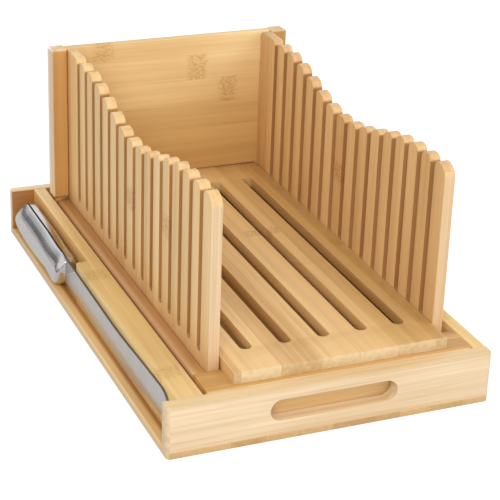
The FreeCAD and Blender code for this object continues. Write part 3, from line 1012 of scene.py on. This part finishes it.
# ---- slicing frame ------------------------------------------------------------------------------
@dataclass
class SlicingFrame:
    """Two beams, two rails and the slotted guides between them."""

    body: str = "slicing_frame"
    dip: float = 18.8 * MM
    dip_half: float = 108 * MM
    front_corner: float = 9 * MM
    rear_corner: float = 5 * MM
    slots: int = 15
    pitch: float = 18 * MM
    slot_width: float = 5.6 * MM
    first_slot: float = 17.2 * MM
    slot_floor: float = 6.0 * MM
    tooth_corner: float = 4.6 * MM
    tooth_edge: float = 1.1 * MM
    bullnose: float = 2.5 * MM
    rail_fall: float = 2.6 * MM
    beam_edge: float = 0.45 * MM
    rail_edge: float = 0.9 * MM
    edge: float = 0.7 * MM
    beam: Bamboo = Bamboo(
        "beam_bamboo", "D0A25E", Grain.RIGHT, 7, 6, variety=0.30, fibre=0.30,
        # Painted light pales the front beam's front face, which lies in shade behind the front wall's slot.
        patches=(Patch((1.63, 2.20, 4.3), y=(-172, -168.7, 0.5)),))
    rail: Bamboo = Bamboo(
        "rail_bamboo", "CB9A66", Grain.BACK, 4, 8, variety=0.14, fibre=0.26,
        # Painted shade darkens the left rail's falling left side, a painted highlight runs along its edge, its right
        # part is darker, and painted light brightens its front end.
        patches=(Patch((0.42, 0.26, 0.12), x=(-90, -80.2, 1.5), z=(27, 60, 6)),
                 Patch((1.12, 1.24, 1.22), x=(-79.3, -77, 1.4)),
                 Patch((0.78, 0.66, 0.46), x=(-75.8, -60, 2.4)),
                 Patch((1.18, 1.4, 1.4), x=(-79.4, -60, 1.0), y=(-200, -134, 16))))
    left_guide: Bamboo = Bamboo(
        "guide_bamboo", "EEC88D", Grain.UP, 18, 7.5, -0.6, variety=0.07, fibre=0.23,
        nodes=((92, 7), (101, -62)), node_depth=0.5,
        # The slot walls are brown from the saw and darker still with painted shade; painted shade darkens the guide
        # towards its foot, and painted light pales its front face.
        patches=(SawBurnAndShade((0.47, 0.34, 0.22)), Patch((0.80, 0.70, 0.60), z=(0, 40, 26)),
                 Patch((0.95, 1.04, 1.38), y=(-150, -144.3, 0.8))))
    right_guide: Bamboo = Bamboo(
        "right_guide_bamboo", "E2BB85", Grain.UP, 18, 7.5, -0.6, variety=0.08, nodes=((92, 7),), node_depth=0.85,
        # The slot walls are brown from the saw and darker still with painted shade, and painted light pales the front
        # face.
        patches=(SawBurnAndShade((0.50, 0.36, 0.24)), Patch((1.02, 1.08, 1.28), y=(-150, -144.3, 0.8))))

    def build(self) -> None:
        """Builds every piece of the frame."""
        self.beams(self.beam.material())
        self.rails(self.rail.material())
        (left_low, left_high), (right_low, right_high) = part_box("left_guide"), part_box("right_guide")
        left = self.guide("left_guide_piece", left_low, left_high)
        right = Bench.repeated(left, [right_high - left_high])[0]
        right.name = "right_guide_piece"
        for vertex in right.data.vertices:
            if vertex.co.z < right_low.z:
                vertex.co.z += right_low.z - left_low.z
        Bench.dress(left, self.left_guide.material(), self.body, "bamboo_guides", "left_guide")
        Bench.dress(right, self.right_guide.material(), self.body, "bamboo_guides", "right_guide")
        Bench.redress("frame_dowels", Flecked("frame_dowel_beech", "D8B888").material())
        pin = Steel("hinge_pin_steel", "B4B4B8", 0.3, Grain.BACK).material()
        for node in ("left_hinge_pins", "right_hinge_pins"):
            Bench.redress(node, pin)

    def beams(self, finish: Material) -> None:
        """The front beam with its rounded front edge, and the rear beam.

        Args:
            finish: their material.
        """
        low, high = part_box("front_beam")
        front = Bench.plank("beam_front", low, high)
        Bench.round_edges(front, self.bullnose, 5, edges_along(0, y=low.y, z=high.z))
        Bench.dress(Bench.ease(front, self.beam_edge), finish, self.body, "bamboo_frame", "front_beam")
        rear = Bench.board("beam_rear", "rear_beam", self.edge)
        Bench.dress(rear, finish, self.body, "bamboo_frame", "rear_beam")

    def rails(self, finish: Material) -> None:
        """The left rail, whose top falls outwards, and the low right rail.

        Args:
            finish: their material.
        """
        low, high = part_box("left_rail")
        left = Bench.plank("rail_left", low, high)
        for vertex in left.data.vertices:
            if abs(vertex.co.x - low.x) + abs(vertex.co.z - high.z) < TINY:
                vertex.co.z -= self.rail_fall
        Bench.dress(Bench.ease(left, self.rail_edge, 3, 20), finish, self.body, "bamboo_frame", "left_rail")
        right = Bench.board("rail_right", "right_rail", self.edge)
        Bench.dress(right, finish, self.body, "bamboo_frame", "right_rail")

    def guide(self, name: str, low: Vector, high: Vector) -> Piece:
        """One slotted guide, its top dipped and every tooth rounded.

        Args:
            name: the piece's name.
            low: its lowest corner.
            high: its highest corner.

        Returns:
            The guide, not yet dressed.
        """
        middle = (low.y + high.y) / 2
        half = self.slot_width / 2
        slots = [low.y + self.first_slot + i * self.pitch for i in range(self.slots)]
        walls = [y + side * half for y in slots for side in (-1, 1)]
        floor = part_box("front_beam")[1].z + self.slot_floor

        def crown(y: float) -> float:
            """Height of the top at y: level at both ends, with a soft dip between."""
            away = min(abs(y - middle) / self.dip_half, 1.0)
            return high.z - self.dip * (1 + math.cos(math.pi * away)) / 2

        def lower(one: Vector, other: Vector) -> bool:
            """Picks the two lower edges across a slot."""
            return edges_along(0)(one, other) and one.z < floor + MM

        def corner(one: Vector, other: Vector) -> bool:
            """Picks the top edges of the teeth, across the guide."""
            return (edges_along(0)(one, other) and min(abs(one.y - y) for y in walls) < 2 * TINY
                    and one.z > crown(one.y) - MM)

        piece = Bench.plank(name, low, high)
        Bench.slice_across(piece, [y + self.pitch / 2 for y in slots[:-1]], 1)
        for vertex in piece.data.vertices:
            if abs(vertex.co.z - high.z) < TINY:
                vertex.co.z = crown(vertex.co.y)
        Bench.round_edges(piece, self.front_corner, 10, edges_along(0, y=low.y, z=high.z))
        Bench.round_edges(piece, self.rear_corner, 6, edges_along(0, y=high.y, z=high.z))
        cutter = Bench.plank("slot_cutter", Vector((low.x - MM, slots[0] - half, floor)),
                             Vector((high.x + MM, slots[0] + half, high.z + MM)))
        Bench.round_edges(cutter, half * 0.998, 6, lower)
        Bench.cut(piece, cutter, [(0, y - slots[0], 0) for y in slots[1:]])
        Bench.round_edges(piece, self.tooth_corner, 6, corner)
        return Bench.ease(piece, self.tooth_edge, 3, 36)


# ---- slotted board ------------------------------------------------------------------------------
@dataclass
class SlottedBoard:
    """The loose board that carries the loaf and lets the crumbs through."""

    body: str = "slotted_board"
    slots: int = 5
    width: float = 8.4 * MM
    pitch: float = 26.9 * MM
    front: float = 27.6 * MM
    rear: float = 34 * MM
    past: float = 3 * MM
    edge: float = 0.8 * MM
    wood: Bamboo = Bamboo(
        "board_bamboo", "E6C084", Grain.BACK, 27, 16, 4, variety=0.18, fibre=0.26, node_share=0.3,
        # Painted light pales the board's front face, and a painted shadow darkens its right part.
        patches=(Patch((0.95, 1.09, 1.42), y=(-170, -165.6, 0.8)),
                 Patch((0.78, 0.72, 0.58), x=(55, 140, 60), y=(-165, 200, 2))))

    def build(self) -> None:
        """Builds the board."""
        low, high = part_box("board")
        piece = Bench.plank("bread_board", low, high)
        x = (low.x + high.x) / 2 - (self.slots - 1) / 2 * self.pitch
        cutter = Bench.plank("slot_cutter", Vector((x - self.width / 2, low.y + self.front, low.z - self.past)),
                             Vector((x + self.width / 2, high.y - self.rear, high.z + self.past)))
        Bench.round_edges(cutter, self.width * 0.499, 8, edges_along(2))
        Bench.cut(piece, cutter, [(i * self.pitch, 0, 0) for i in range(1, self.slots)])
        Bench.dress(Bench.ease(piece, self.edge), self.wood.material(), self.body, "bamboo_board", "board")


# ---- back stop ----------------------------------------------------------------------------------
@dataclass
class BackStop:
    """The upright panel between two battens."""

    body: str = "back_stop"
    edge: float = 0.8 * MM
    batten_edge: float = 1.6 * MM
    panel: Bamboo = Bamboo(
        "panel_bamboo", "EBC98E", Grain.RIGHT, 20, 9, 1.5, variety=0.06, fibre=0.16,
        nodes=((-42.2, 147), (33, 131), (59, 109.5)), node_depth=0.5,
        # Painted shade darkens the panel's left part and its lower part, and painted light brightens its upper right.
        patches=(Patch((0.89, 0.87, 0.83), x=(-90, -45, 50)),
                 Patch((1.12, 1.20, 1.34), x=(40, 110, 60), z=(118, 200, 40)),
                 Patch((0.84, 0.76, 0.62), z=(0, 92, 50))))
    batten: Bamboo = Bamboo(
        "batten_bamboo", "D3A260", Grain.UP, 6, 6, variety=0.16, fibre=0.22,
        # Painted light pales the left batten's left face and the battens' tops.
        patches=(Patch((1.33, 1.89, 4.1), x=(-90, -83.2, 0.8)), Patch((1.28, 1.75, 3.0), z=(152.8, 160, 0.8))))

    def build(self) -> None:
        """Builds the panel and its battens."""
        panel = Bench.board("panel", "back_panel", self.edge)
        Bench.dress(panel, self.panel.material(), self.body, "bamboo_panel", "back_panel")
        left = Bench.board("left_batten_piece", "left_batten", self.batten_edge, 4)
        right = Bench.repeated(left, [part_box("right_batten")[0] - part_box("left_batten")[0]])[0]
        right.name = "right_batten_piece"
        finish = self.batten.material()
        for batten, node in ((left, "left_batten"), (right, "right_batten")):
            Bench.dress(batten, finish, self.body, "bamboo_battens", node)
        Bench.redress("panel_pins", Flecked("panel_pin_beech", "D8B888").material())


# ---- knife --------------------------------------------------------------------------------------
@dataclass
class Knife:
    """The bread knife: a ground, scalloped blade between two formed steel grip shells.

    Attributes:
        grind_least: share of its thickness that the blade keeps at the edge.
        grind_start: how far behind the grip's nose the grinding starts.
        spine_height: how high over the edge a face belongs to the spine.
        rim_out: how far from the seam a shell's outline is read.
        left_shoulder: (millimetres round the shoulder, degrees that it faces upwards) pairs.
        right_shoulder: the same for the right shell.
        side_lean: degrees that the long side turns under towards the belly.
        swell: how far a shell may stand proud of its solid.
        lip: shares of the section at the nose's tip and behind the lip.
        face: where the nose's steep face starts and ends, behind the tip.
        face_share: share of the section behind that face.
        nose_lead: how far the section leads the outline at the nose.
        dip_run: where behind the nose that fall starts and ends.
    """

    body: str = "knife"
    grind_height: float = 11 * MM
    grind_least: float = 0.12
    grind_start: float = 2 * MM
    spine_height: float = 15 * MM
    rows: int = 130
    rim_out: float = 2.2 * MM
    seam_half: float = 0.42 * MM
    seam_deep: float = 1.1 * MM
    left_shoulder: Outline = ((0, 84), (0.7, 54), (1.4, 42), (4.6, 38), (5.3, 34.5), (8.2, 32.5),
                              (9.0, 29), (12.4, 26.3), (13.4, 14), (14.2, 4))
    right_shoulder: Outline = ((0, 88), (3.8, 80), (5.2, 50), (7.2, 30), (10.4, 12), (12, 4))
    shoulder_steps: int = 4
    side_lean: float = 9.0
    side_steps: int = 8
    belly: float = 4.4 * MM
    belly_steps: int = 10
    full_height: float = 14.5 * MM
    swell: float = 0.7 * MM
    lip: tuple[float, float] = (0.06, 0.27)
    face: tuple[float, float] = (1.2 * MM, 1.5 * MM)
    face_share: float = 0.64
    nose_lead: float = 0.6 * MM
    nose_round: float = 5.0 * MM
    dip: float = 2.2 * MM
    dip_run: tuple[float, float] = (55 * MM, 3 * MM)
    tail_length: float = 5 * MM
    blade: Steel = Steel("blade_steel", "CFD0D3", 0.33, Grain.UP, 3200.0,
                         # The blade is darker behind the mouth of the plunge, and a painted highlight runs across it
                         # along that mouth.
                         patches=(Patch((0.86, 0.86, 0.87), slant=(86, 200, 0.8)),
                                  Patch((1.3, 1.3, 1.28), slant=(84.6, 86.2, 0.8))))
    # A darker copy of the steel on the spine's top faces, as painted shade.
    spine: Steel = Steel("spine_painted_shade", "7C7974", 0.42, Grain.BACK)
    grip: Steel = Steel("grip_steel", "D2D1D1", 0.19, Grain.BACK, 2400.0, 0.004)
    # A dark dull finish in the groove between the shells, as painted shade.
    seam: Flecked = Flecked("grip_groove_shade", "4E443A")

    def build(self) -> None:
        """Builds the blade and both shells."""
        self.steel_blade()
        finishes = (self.grip.material(), self.seam.material())
        self.shell("left_grip", -1, self.left_shoulder, finishes)
        self.shell("right_grip", 1, self.right_shoulder, finishes)

    def steel_blade(self) -> None:
        """The blade, copied from its solid and ground thin towards the scallops."""
        piece = bpy.data.objects.new("bread_blade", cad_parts["knife_blade"].data.copy())
        bpy.context.scene.collection.objects.link(piece)
        with Bench.editing(piece):
            bpy.ops.mesh.remove_doubles(threshold=0.002 * MM)
            bpy.ops.mesh.dissolve_limited(angle_limit=math.radians(1))
        low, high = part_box("knife_blade")
        middle = (low.x + high.x) / 2
        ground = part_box("left_grip")[0].y + self.grind_start
        grind = low.z + self.grind_height
        Bench.slice_across(piece, [grind], 2)
        for vertex in piece.data.vertices:
            if vertex.co.y < ground and vertex.co.z < grind:
                share = max((vertex.co.z - low.z) / self.grind_height, self.grind_least)
                vertex.co.x = middle + (vertex.co.x - middle) * share
        finishes = (self.blade.material(), self.spine.material())
        Bench.dress(Bench.smooth(piece, 25), finishes, self.body, "knife_steel", "knife_blade")
        # Faces on the spine's top get the darker steel, as painted shade.
        for face in piece.data.polygons:
            face.material_index = int(face.normal.z > 0.5 and face.center.z > low.z + self.spine_height)

    def shell(self, node: str, side: int, shoulder: Outline, finishes: Sequence[Material]) -> None:
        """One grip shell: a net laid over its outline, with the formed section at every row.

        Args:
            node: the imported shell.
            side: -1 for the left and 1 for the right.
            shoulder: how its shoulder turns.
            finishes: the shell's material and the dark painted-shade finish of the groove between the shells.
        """
        low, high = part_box(node)
        middle, thick = (high.x if side < 0 else low.x), high.x - low.x
        rim = outline_at(node, middle + side * self.rim_out)
        ribs = len(self.section(self.full_height, shoulder)) - 1
        bpy.ops.object.select_all(action="DESELECT")
        bpy.ops.mesh.primitive_grid_add(x_subdivisions=self.rows, y_subdivisions=ribs, size=MM)
        piece = Bench.settle(bpy.context.object, f"{node}_piece")
        for index, vertex in enumerate(piece.data.vertices):
            rib, row = divmod(index, self.rows + 1)
            y = low.y + (high.y - low.y) * (1 - math.cos(math.pi * row / self.rows)) / 2
            bottom, top = reach(rim, y)
            top -= self.dip * soft_step(*self.dip_run, y - low.y)
            out, drop = self.section(top - bottom, shoulder)[rib]
            front = reach([(z, y) for y, z in rim], top - drop)[0]
            full = self.fullness(y - max(front - self.nose_lead, low.y), high.y - y)
            vertex.co = Vector((middle + side * min(out * full, thick + self.swell), y, top - drop))
        Bench.dress(piece, finishes, self.body, "grip_steel", node)
        # The groove's faces get the dark painted-shade finish.
        for face in piece.data.polygons:
            face.material_index = int(face.index // self.rows < 2)
        with Bench.editing(piece):
            bpy.ops.mesh.remove_doubles(threshold=TINY)
            bpy.ops.mesh.select_all(action="DESELECT")
            bpy.ops.mesh.select_mode(type="EDGE")
            bpy.ops.mesh.select_non_manifold()
            bpy.ops.mesh.edge_face_add()
            bpy.ops.mesh.select_all(action="SELECT")
            bpy.ops.mesh.normals_make_consistent(inside=False)
        Bench.smooth(piece, 50)

    def section(self, height: float, shoulder: Outline) -> list[tuple[float, float]]:
        """One shell's section for a grip of this height, from the seam's groove to the belly.

        Args:
            height: the grip's height at this place.
            shoulder: (millimetres round the shoulder, degrees that it faces upwards) pairs.

        Returns:
            (outwards from the seam, down from the top) points: groove, shoulder, long side and belly.
        """
        lean = min(height / self.full_height, 1.0)
        points = [(0.0, self.seam_deep), (self.seam_half * 0.6, self.seam_deep * 0.9), (self.seam_half, 0.25 * MM)]
        out, drop = self.seam_half + 0.1 * MM, 0.0
        for (start, angle), (end, next_angle) in zip(shoulder, shoulder[1:]):
            stride = (end - start) / self.shoulder_steps * MM
            for i in range(self.shoulder_steps):
                points.append((out, drop))
                turn = math.radians(angle + (next_angle - angle) * (i + 0.5) / self.shoulder_steps)
                out += math.sin(turn) * stride
                drop += math.cos(turn) * stride
        points = [(x, down * lean) for x, down in (*points, (out, drop))]
        side_top, side_end = drop * lean, height - self.belly * lean
        under = math.tan(math.radians(self.side_lean)) * (side_end - side_top) / 2
        for i in range(1, self.side_steps + 1):
            share = i / self.side_steps
            points.append((out - under * share * share, side_top + (side_end - side_top) * share))
        inner = points[-1][0] - self.belly
        for i in range(1, self.belly_steps + 1):
            turn = math.radians(90 * i / self.belly_steps)
            points.append((inner + self.belly * math.cos(turn), side_end + self.belly * lean * math.sin(turn)))
        return [*points, (0.0, height)]

    def fullness(self, back: float, ahead: float) -> float:
        """How far the shell bulges, as a share of its section.

        Args:
            back: distance behind the nose at this height.
            ahead: distance ahead of the tail.

        Returns:
            The share: a thin tapered lip, a steep front face, a rounded shoulder behind it and a round tail.
        """
        rounding = 1 - min(max(back - self.face[1], 0.0) / self.nose_round, 1.0)
        lip = self.lip[0] + (self.lip[1] - self.lip[0]) * min(max(back, 0.0) / self.face[0], 1.0)
        nose = (lip + (self.face_share - lip) * soft_step(*self.face, back)
                + (1 - self.face_share) * math.sqrt(max(1 - rounding * rounding, 0.0)))
        tail = min(ahead / self.tail_length, 1.0)
        return nose * math.sqrt(max(1 - (1 - tail) ** 2, 0.0))


def soft_step(start: float, end: float, at: float) -> float:
    """An eased rise from 0 at start to 1 at end, which may lie below start."""
    share = min(max((at - start) / (end - start), 0.0), 1.0)
    return share * share * (3 - 2 * share)


def reach(rim: Outline, at: float) -> tuple[float, float]:
    """The lowest and highest point of a closed outline at one place along it.

    Args:
        rim: (along, up) points in order round the outline.
        at: the place.

    Returns:
        The two heights, which are equal off the outline's ends.
    """
    crossings = []
    for (x0, z0), (x1, z1) in zip(rim, [*rim[1:], rim[0]]):
        if min(x0, x1) <= at <= max(x0, x1) and abs(x1 - x0) > 1e-9:
            crossings.append(z0 + (z1 - z0) * (at - x0) / (x1 - x0))
    crossings = crossings or [min(rim, key=lambda spot: abs(spot[0] - at))[1]]
    return min(crossings), max(crossings)


def outline_at(node: str, x: float) -> list[tuple[float, float]]:
    """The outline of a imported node's straight side, taken where its mesh has points nearest x.

    Args:
        node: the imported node.
        x: about where to look.

    Returns:
        (y, z) points in order round the outline.
    """
    corners = [vertex.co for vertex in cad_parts[node].data.vertices]
    ring = min((co.x for co in corners), key=lambda place: abs(place - x))
    points = [(co.y, co.z) for co in corners if abs(co.x - ring) < 2 * TINY]
    mid_y, mid_z = (sum(values) / len(points) for values in zip(*points))
    return sorted(points, key=lambda spot: math.atan2((spot[1] - mid_z) * 5, spot[0] - mid_y))


# ---- studio -------------------------------------------------------------------------------------
@dataclass
class Studio:
    """Floor, world, lamps and camera.

    Attributes:
        azimuth: degrees that the camera stands to the left of the front.
        floor_glow: how far the floor glows to the camera and to reflections.
        mirrored_sky: what polished steel shows, from straight below to straight above.
        lamps: name, place, width and power of each.
    """

    azimuth: float = 23.264
    elevation: float = 24.464
    roll: float = 2.086
    place: tuple[float, float, float] = (-0.41067, -0.99316, 0.53494)
    lens: float = 120.34
    floor_size: float = 12.0
    floor_glow: tuple[float, float] = (0.62, 0.25)
    sky: tuple[Colour, float] = ((1.0, 0.985, 0.96), 0.72)
    mirrored_sky: tuple[tuple[float, Colour], ...] = (
        (0.0, (0.03, 0.03, 0.03)), (0.06, (0.04, 0.04, 0.0404)), (0.105, (0.30, 0.30, 0.303)),
        (0.145, (0.56, 0.56, 0.5656)), (0.19, (0.62, 0.62, 0.6262)), (0.25, (1.0, 1.0, 1.01)),
        (0.66, (1.0, 1.0, 1.01)), (0.82, (0.6, 0.6, 0.606)), (1.0, (0.75, 0.75, 0.76)))
    aim: tuple[float, float, float] = (0, 0, 0.05)
    lamps: tuple[tuple[str, tuple[float, float, float], float, float], ...] = (
        ("key", (-1.0, -1.8, 1.35), 1.2, 26.0), ("fill", (1.3, -1.0, 1.1), 1.4, 9.0))

    def build(self) -> None:
        """Builds the whole studio."""
        self.floor()
        self.world()
        for lamp in self.lamps:
            self.lamp(*lamp)
        self.camera()

    def floor(self) -> None:
        """A wide white floor that keeps the object's soft shadow."""
        bpy.ops.object.select_all(action="DESELECT")
        bpy.ops.mesh.primitive_plane_add(size=self.floor_size, location=(0, 0, -0.2 * MM))
        floor = Bench.settle(bpy.context.object, "floor")
        shader = Shader("floor_white")
        paths = shader.node("ShaderNodeLightPath", {}, {})
        seen, mirrored = (Value(shader, paths.outputs[ray]) for ray in ("Is Camera Ray", "Is Glossy Ray"))
        shader.feed({"Base Color": (0.55, 0.55, 0.55), "Roughness": 1.0, "Specular IOR Level": 0.0,
                     "Emission Color": (1.0, 1.0, 1.0),
                     "Emission Strength": seen * self.floor_glow[0] + mirrored * self.floor_glow[1]})
        floor.data.materials.append(shader.material)

    def world(self) -> None:
        """Even light from all round; white to the camera and graded in reflections."""
        world = bpy.data.worlds.new("studio")
        world.use_nodes = True
        bpy.context.scene.world = world
        nodes = Nodes(world.node_tree)
        where = nodes.node("ShaderNodeTexCoord", {}, {}).outputs["Generated"]
        height = nodes.node("ShaderNodeSeparateXYZ", {}, {0: where}).outputs["Z"]
        grades = nodes.node("ShaderNodeValToRGB", {"stops": self.mirrored_sky}, {"Fac": height}).outputs[0]
        looks = ((self.sky[0], self.sky[1]), (grades, 1.0), ((1.0, 1.0, 1.0), 1.0))
        light, graded, white = (
            nodes.node("ShaderNodeBackground", {}, {"Color": colour, "Strength": strength}).outputs[0]
            for colour, strength in looks)
        paths = nodes.node("ShaderNodeLightPath", {}, {}).outputs
        for ray, look in (("Is Glossy Ray", graded), ("Is Camera Ray", white)):
            light = nodes.node("ShaderNodeMixShader", {}, {0: paths[ray], 1: light, 2: look}).outputs[0]
        nodes.node("ShaderNodeOutputWorld", {}, {0: light})

    def lamp(self, name: str, place: Sequence[float], size: float, power: float) -> None:
        """A square soft lamp aimed at the slicer.

        Args:
            name: its name.
            place: where it stands.
            size: its width.
            power: its power in watts.
        """
        data = bpy.data.lights.new(name, "AREA")
        data.energy, data.size = power, size
        lamp = bpy.data.objects.new(name, data)
        bpy.context.scene.collection.objects.link(lamp)
        lamp.location = place
        lamp.rotation_euler = (Vector(self.aim) - Vector(place)).to_track_quat("-Z", "Y").to_euler()

    def camera(self) -> None:
        """The camera, front left and above, slightly rolled."""
        az, el, roll = (math.radians(a) for a in (self.azimuth, self.elevation, self.roll))
        back = Vector((-math.sin(az) * math.cos(el), -math.cos(az) * math.cos(el), math.sin(el)))
        right = (-back).cross(Vector((0, 0, 1))).normalized()
        up = right.cross(-back)
        across = right * math.cos(roll) + up * math.sin(roll)
        upright = up * math.cos(roll) - right * math.sin(roll)
        data = bpy.data.cameras.new("camera")
        data.lens, data.sensor_width = self.lens, 36.0
        camera = bpy.data.objects.new("camera", data)
        bpy.context.scene.collection.objects.link(camera)
        camera.matrix_world = Matrix((*zip(across, upright, back, self.place), (0, 0, 0, 1)))
        bpy.context.scene.camera = camera


def main() -> None:
    """Builds the slicer, then the studio round it."""
    logging.basicConfig(level=logging.INFO, format="%(message)s")
    for part in (Tray(), SlicingFrame(), SlottedBoard(), BackStop(), Knife()):
        part.build()
    Studio().build()
    bpy.context.scene.view_settings.view_transform = "Standard"


if __name__ == "__main__":
    main()
